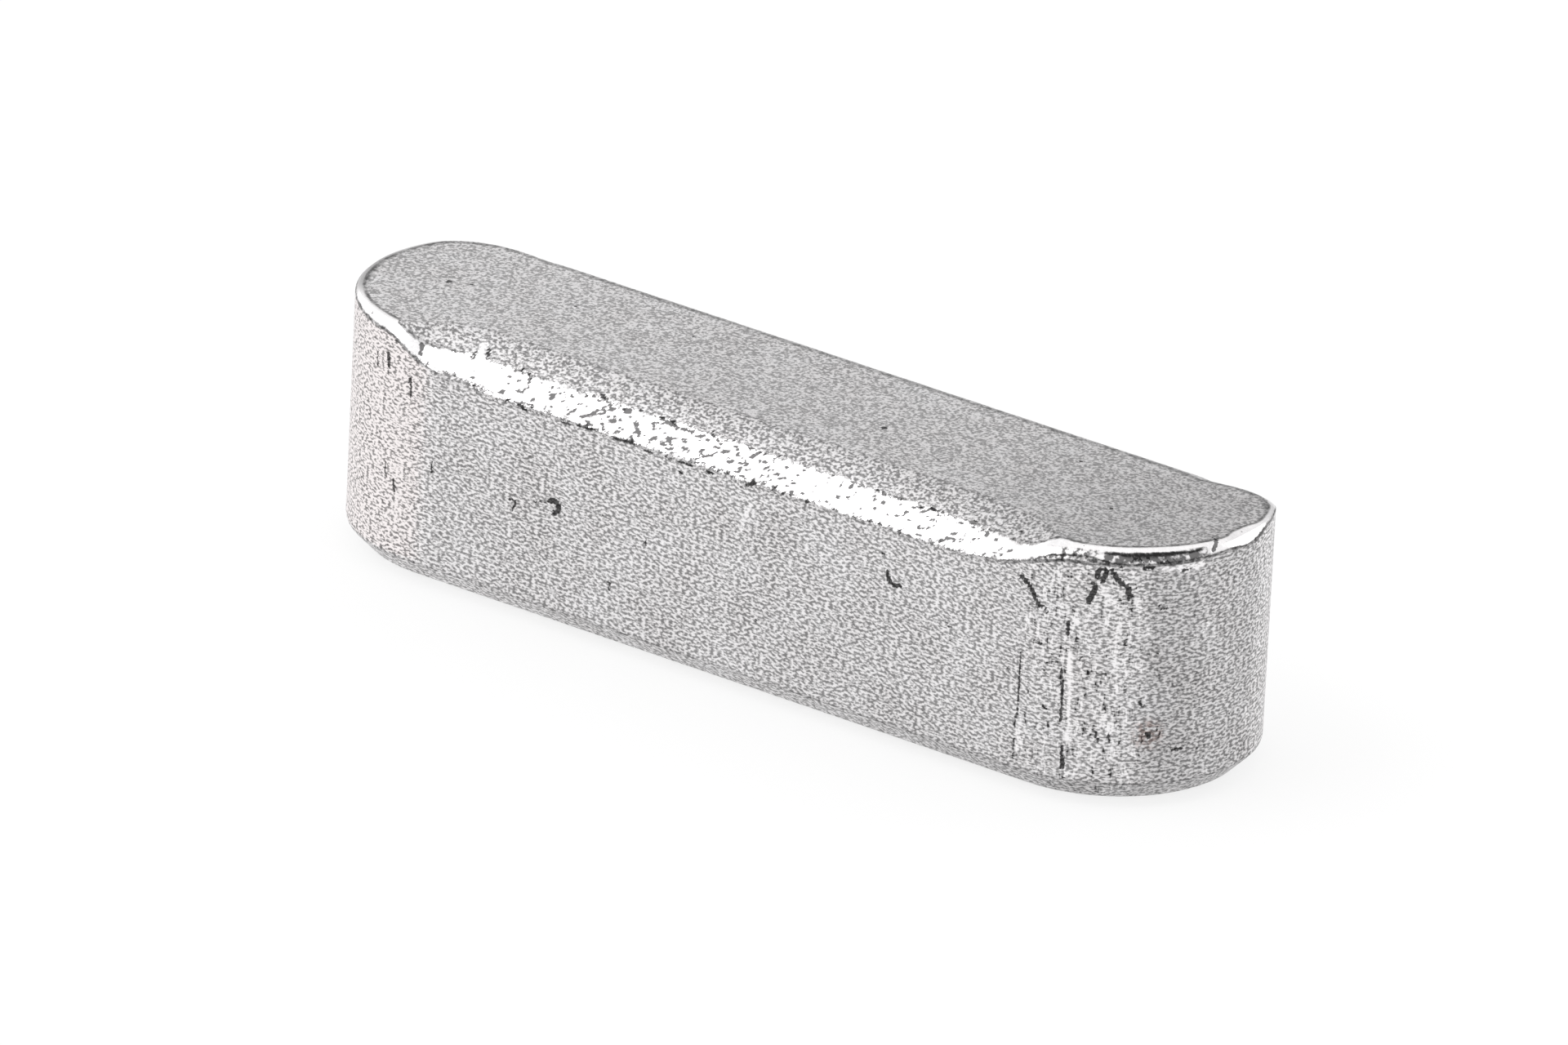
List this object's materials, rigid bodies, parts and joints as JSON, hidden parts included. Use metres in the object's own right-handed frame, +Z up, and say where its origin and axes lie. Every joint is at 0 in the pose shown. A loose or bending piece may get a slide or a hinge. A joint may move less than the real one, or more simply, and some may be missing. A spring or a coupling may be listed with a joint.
{
  "type": "parallel key",
  "caption": "Steel parallel key with both ends rounded to its full width, for locking a wheel or gear to a keyed shaft.",
  "frame": {"origin": "centre of the underside, the face that lies in the shaft's keyway", "axes": "+X along the key, +Y across its width, +Z up through its height, away from the shaft"},
  "size_m": [0.028, 0.008, 0.007],
  "materials": {
    "bright_steel": "cold-drawn bright steel, satin, with milled round ends and softened edges"
  },
  "bodies": {
    "root": {"parallel_key": "bright_steel"}
  },
  "joints": []
}
